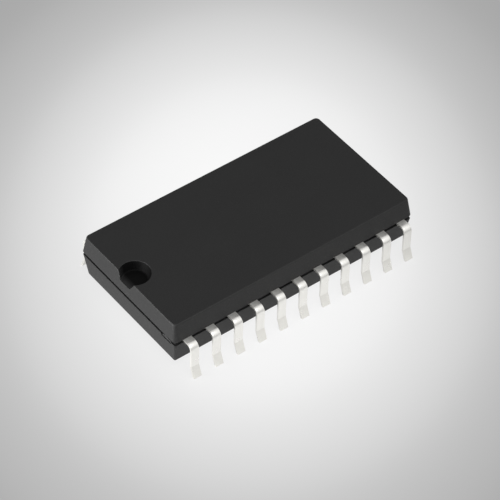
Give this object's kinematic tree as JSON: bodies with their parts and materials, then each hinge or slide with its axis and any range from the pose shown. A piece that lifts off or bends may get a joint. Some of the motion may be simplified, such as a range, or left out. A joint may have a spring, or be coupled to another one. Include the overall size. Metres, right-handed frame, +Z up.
{
  "type": "small-outline integrated circuit package",
  "caption": "Black moulded small-outline chip with bent tin-plated leads along both long sides, a pin 1 pocket, and a wire-bonded die inside.",
  "frame": {"origin": "middle of the body's outline, on the board's surface under the lead tips", "axes": "+X along the body, away from the pin 1 end; +Y across the two rows of leads, away from leads 1 to 11; +Z up from the board"},
  "size_m": [0.0142, 0.0092, 0.003],
  "materials": {
    "mould_compound": "matt, with the fine grain of filled epoxy",
    "tin_plating": "matt tin plate on the outside of the leads, with faint drawing lines",
    "lead_frame_copper": "bare copper alloy sheet",
    "silver_epoxy": "dull silver-filled adhesive",
    "silicon": "polished silicon",
    "gold_wire": "drawn gold wire"
  },
  "bodies": {
    "root": {"body": "mould_compound", "lead_01": "tin_plating", "lead_02": "tin_plating", "lead_03": "tin_plating", "lead_04": "tin_plating", "lead_05": "tin_plating", "lead_06": "tin_plating", "lead_07": "tin_plating", "lead_08": "tin_plating", "lead_09": "tin_plating", "lead_10": "tin_plating", "lead_11": "tin_plating", "lead_12": "tin_plating", "lead_13": "tin_plating", "lead_14": "tin_plating", "lead_15": "tin_plating", "lead_16": "tin_plating", "lead_17": "tin_plating", "lead_18": "tin_plating", "lead_19": "tin_plating", "lead_20": "tin_plating", "lead_21": "tin_plating", "lead_22": "tin_plating", "die_paddle": "lead_frame_copper", "die_attach": "silver_epoxy", "die": "silicon", "bond_wire_01": "gold_wire", "bond_wire_02": "gold_wire", "bond_wire_03": "gold_wire", "bond_wire_04": "gold_wire", "bond_wire_05": "gold_wire", "bond_wire_06": "gold_wire", "bond_wire_07": "gold_wire", "bond_wire_08": "gold_wire", "bond_wire_09": "gold_wire", "bond_wire_10": "gold_wire", "bond_wire_11": "gold_wire", "bond_wire_12": "gold_wire", "bond_wire_13": "gold_wire", "bond_wire_14": "gold_wire", "bond_wire_15": "gold_wire", "bond_wire_16": "gold_wire", "bond_wire_17": "gold_wire", "bond_wire_18": "gold_wire", "bond_wire_19": "gold_wire", "bond_wire_20": "gold_wire", "bond_wire_21": "gold_wire", "bond_wire_22": "gold_wire"}
  },
  "joints": []
}
